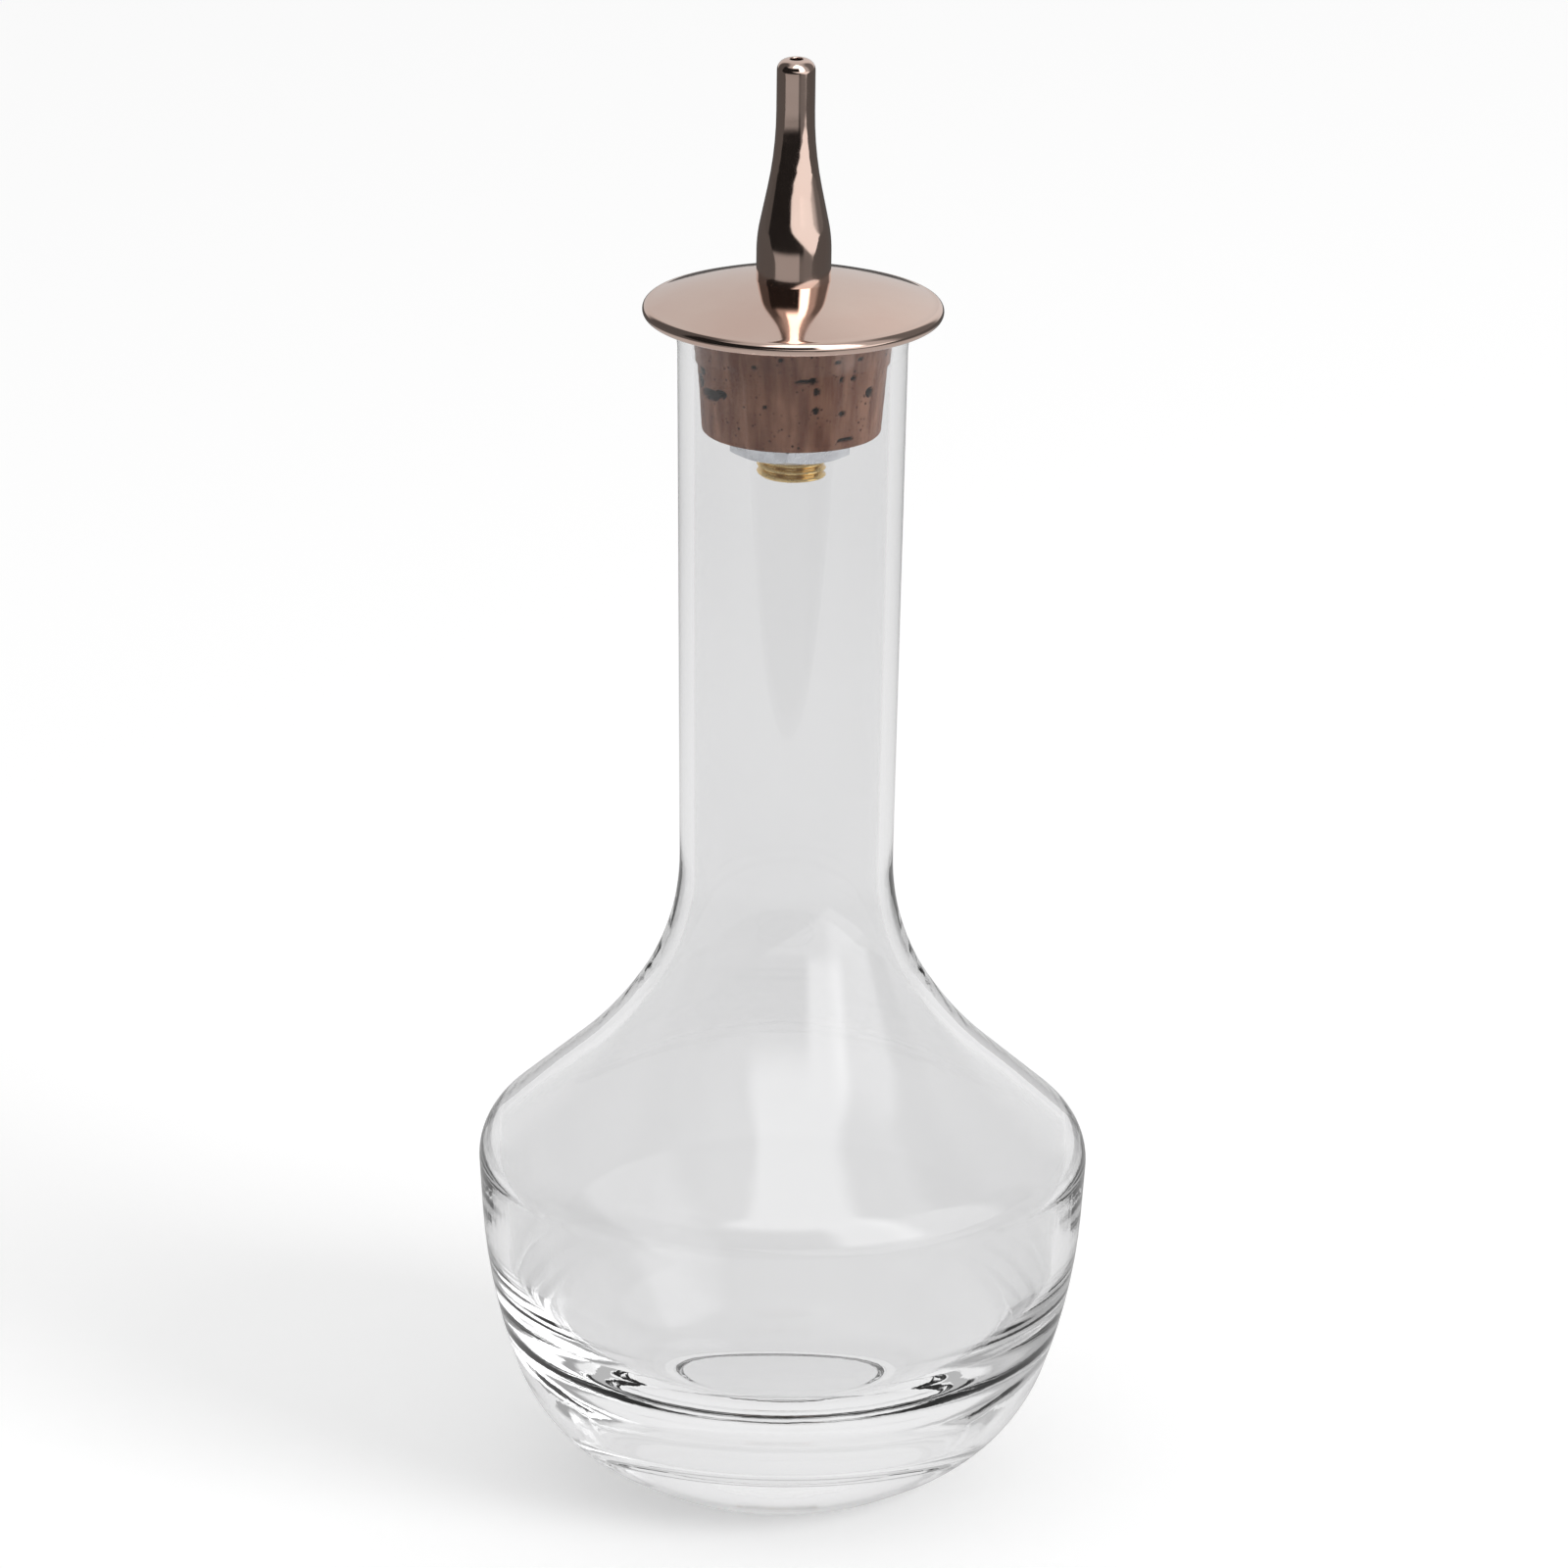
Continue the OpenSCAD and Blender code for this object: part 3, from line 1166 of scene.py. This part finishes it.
MIRRORED = [
    DARK_BELOW,
    DIM_LEFT,
    DIM_RIGHT,
    PALE_BACK,
    BRIGHT_BACK,
    BLACK_FRONT,
    TALL_RIGHT,
    PALE_TABLE,
    OVERHEAD,
    HIGH_RIGHT,
]
SEEN_THROUGH = [HAZY_FRONT, PALE_LEFT, BRIGHT_RIGHT, PALE_RIGHT]


@dataclass
class Studio:
    """Pale floor, surroundings, one soft lamp and the camera.

    Lengths and places are in metres, the roll in radians. The photograph's width and the focal length are in
    pixels, and the sensor's width is in millimetres.
    """

    floor_colour: Colour = (0.78, 0.78, 0.78, 1.0)
    floor_roughness: float = 0.9
    floor_glow: float = 0.35
    floor_through: float = 0.95
    floor_near: float = 0.22
    floor_far: float = 0.34
    floor_near_level: float = 0.5
    floor_far_level: float = 0.1
    floor_even: float = 0.85
    floor_front: float = -0.25
    floor_back: float = 2.6
    floor_half: float = 2.6
    plain_level: float = 1.0
    mirrored_level: float = 0.5
    soft_level: float = 0.68
    picture: int = 1600
    focal_px: float = 9827.5
    sensor: float = 36.0
    camera_at: tuple[float, float, float] = (0.0, -0.950, 0.402)
    aim_at: tuple[float, float, float] = (-0.000335, 0.0, 0.076383)
    roll: float = 0.01252
    lamp_at: tuple[float, float, float] = (0.95, -0.65, 0.60)
    lamp_size: float = 0.6
    lamp_power: float = 9.0
    bounces: int = 20

    def build(self) -> None:
        """Set up everything that isn't the object."""
        self.add_floor()
        self.add_surroundings()
        self.add_lamp()
        self.add_camera()
        scene = bpy.context.scene
        scene.view_settings.view_transform = "Standard"
        scene.cycles.max_bounces = self.bounces
        scene.cycles.glossy_bounces = self.bounces
        scene.cycles.transmission_bounces = self.bounces

    def add_floor(self) -> None:
        """Lay a pale floor that ends in front, where polished metal sees the dark room beyond it."""
        back, front, half = self.floor_back, self.floor_front, self.floor_half
        corners = [(-half, front, 0.0), (half, front, 0.0), (half, back, 0.0), (-half, back, 0.0)]
        floor = mesh_object("floor", corners, [(0, 1, 2, 3)])
        material, wire, shader = start_material("pale_floor")
        ray = wire.add("ShaderNodeLightPath").outputs
        seen = wire.math("MAXIMUM", ray["Is Camera Ray"], ray["Is Transmission Ray"])
        seen = wire.math("MAXIMUM", seen, ray["Is Glossy Ray"])
        wire.join(shader, "Base Color", self.floor_colour)
        wire.join(shader, "Roughness", self.floor_roughness)
        wire.join(shader, "Specular IOR Level", 0.0)
        wire.join(shader, "Emission Color", WHITE)
        wire.join(shader, "Emission Strength", wire.math("MULTIPLY", seen, self.floor_glow))
        away = wire.add("ShaderNodeVectorMath", {0: wire.place()}, operation="LENGTH").outputs["Value"]
        levels = (self.floor_near_level, self.floor_far_level)
        fade = wire.ranged(away, (self.floor_near, self.floor_far), levels)
        level = wire.mix(ray["Is Transmission Ray"], fade, self.floor_through)
        even = wire.add("ShaderNodeEmission", {"Strength": level})
        share = wire.mix(ray["Is Transmission Ray"], ray["Is Glossy Ray"], self.floor_even)
        both = wire.add("ShaderNodeMixShader", {0: share, 1: shader.outputs[0], 2: even.outputs[0]})
        output = next(node for node in material.node_tree.nodes if node.type == "OUTPUT_MATERIAL")
        wire.join(output, "Surface", both.outputs[0])
        floor.data.materials.append(material)

    def add_surroundings(self) -> None:
        """Paint the surroundings by kind of ray: white to the eye, panels in metal and glass."""
        world = bpy.data.worlds.new("studio")
        world.use_nodes = True
        world.node_tree.nodes.clear()
        bpy.context.scene.world = world
        wire = Wiring(world.node_tree)
        toward = wire.add("ShaderNodeTexCoord").outputs["Generated"]
        axes = wire.add("ShaderNodeSeparateXYZ", {0: toward}).outputs
        azimuth = wire.math("DEGREES", wire.math("ARCTAN2", axes[0], wire.math("MULTIPLY", axes[1], -1.0)))
        elevation = wire.math("DEGREES", wire.math("ARCSINE", axes[2]))
        mirrored = self.paint(wire, azimuth, elevation, self.mirrored_level, MIRRORED)
        through = self.paint(wire, azimuth, elevation, self.plain_level, SEEN_THROUGH)
        ray = wire.add("ShaderNodeLightPath").outputs
        level = wire.mix(ray["Is Glossy Ray"], self.soft_level, mirrored)
        level = wire.mix(ray["Is Transmission Ray"], level, through)
        level = wire.mix(ray["Is Camera Ray"], level, self.plain_level)
        glow = wire.add("ShaderNodeBackground", {"Color": WHITE, "Strength": level})
        wire.add("ShaderNodeOutputWorld", {"Surface": glow.outputs[0]})

    @staticmethod
    def paint(
        wire: Wiring,
        azimuth: bpy.types.NodeSocket,
        elevation: bpy.types.NodeSocket,
        level: object,
        panels: list[Panel],
    ) -> object:
        """Lay panels over a plain level.

        Args:
            wire: The world's wiring.
            azimuth: The direction's azimuth, in degrees.
            elevation: The direction's elevation, in degrees.
            level: The plain level.
            panels: The panels, later ones over earlier ones.

        Returns:
            The level in each direction.
        """
        for panel in panels:
            raised = wire.math("SUBTRACT", elevation, panel.elevation)
            turned = wire.math("SUBTRACT", azimuth, panel.azimuth)
            if panel.lean:
                turned = wire.math("SUBTRACT", turned, wire.math("MULTIPLY", raised, panel.lean))
            turned = wire.math("WRAP", turned, HALF_TURN, -HALF_TURN)
            masks = []
            for off, half in ((turned, panel.half_wide), (raised, panel.half_high)):
                far = wire.math("ABSOLUTE", off)
                edge = (half - panel.soft, half + panel.soft)
                masks.append(wire.ranged(far, edge, (1.0, 0.0), interpolation_type="SMOOTHSTEP"))
            level = wire.mix(wire.math("MULTIPLY", *masks), level, panel.level)
        return level

    def add_lamp(self) -> None:
        """Hang one broad soft lamp to the right, which metal and glass don't mirror."""
        lamp = bpy.data.lights.new("soft_lamp", "AREA")
        lamp.shape = "SQUARE"
        lamp.size = self.lamp_size
        lamp.energy = self.lamp_power
        obj = bpy.data.objects.new("soft_lamp", lamp)
        bpy.context.scene.collection.objects.link(obj)
        obj.location = self.lamp_at
        obj.rotation_euler = (-Vector(self.lamp_at)).to_track_quat("-Z", "Y").to_euler()
        obj.visible_camera = False
        obj.visible_glossy = False
        obj.visible_transmission = False

    def add_camera(self) -> None:
        """Place the camera at the photograph's angle."""
        data = bpy.data.cameras.new("camera")
        data.sensor_width = self.sensor
        data.lens = self.focal_px / self.picture * self.sensor
        camera = bpy.data.objects.new("camera", data)
        bpy.context.scene.collection.objects.link(camera)
        place = Vector(self.camera_at)
        forward = (Vector(self.aim_at) - place).normalized()
        right = forward.cross(Vector((0.0, 0.0, 1.0))).normalized()
        up = right.cross(forward)
        cos, sin = math.cos(self.roll), math.sin(self.roll)
        columns = (right * cos + up * sin, up * cos - right * sin, -forward)
        camera.matrix_world = Matrix.Translation(place) @ Matrix(columns).transposed().to_4x4()
        bpy.context.scene.camera = camera


def main() -> None:
    """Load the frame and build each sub-assembly in order."""
    logging.basicConfig(level=logging.INFO, format="%(message)s")
    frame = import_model()
    effects = SharedEffects()
    copper = CopperPlate().material(effects)
    GlassBottle(mouth_z=Span.of("bottle").high).build(ClearGlass().material(effects))
    CorkStopper(Span.of("cork")).build(NaturalCork().material(effects))
    disc = PouringDisc(under_z=Span.of("top_disc").low)
    disc.build(copper)
    DashSpout().build(disc, copper)
    stem = ThreadedStem(
        span=Span.of("stem"),
        thread_top_z=Span.of("lock_nut").high,
        socket_z=Span.of("spout").low,
        socket_r=disc.hole_r,
    )
    stem.build(TurnedBrass().material(effects))
    LockNut().build(frame, ZincPlate().material(effects))
    Studio().build()
    bpy.context.view_layer.update()


if __name__ == "__main__":
    main()
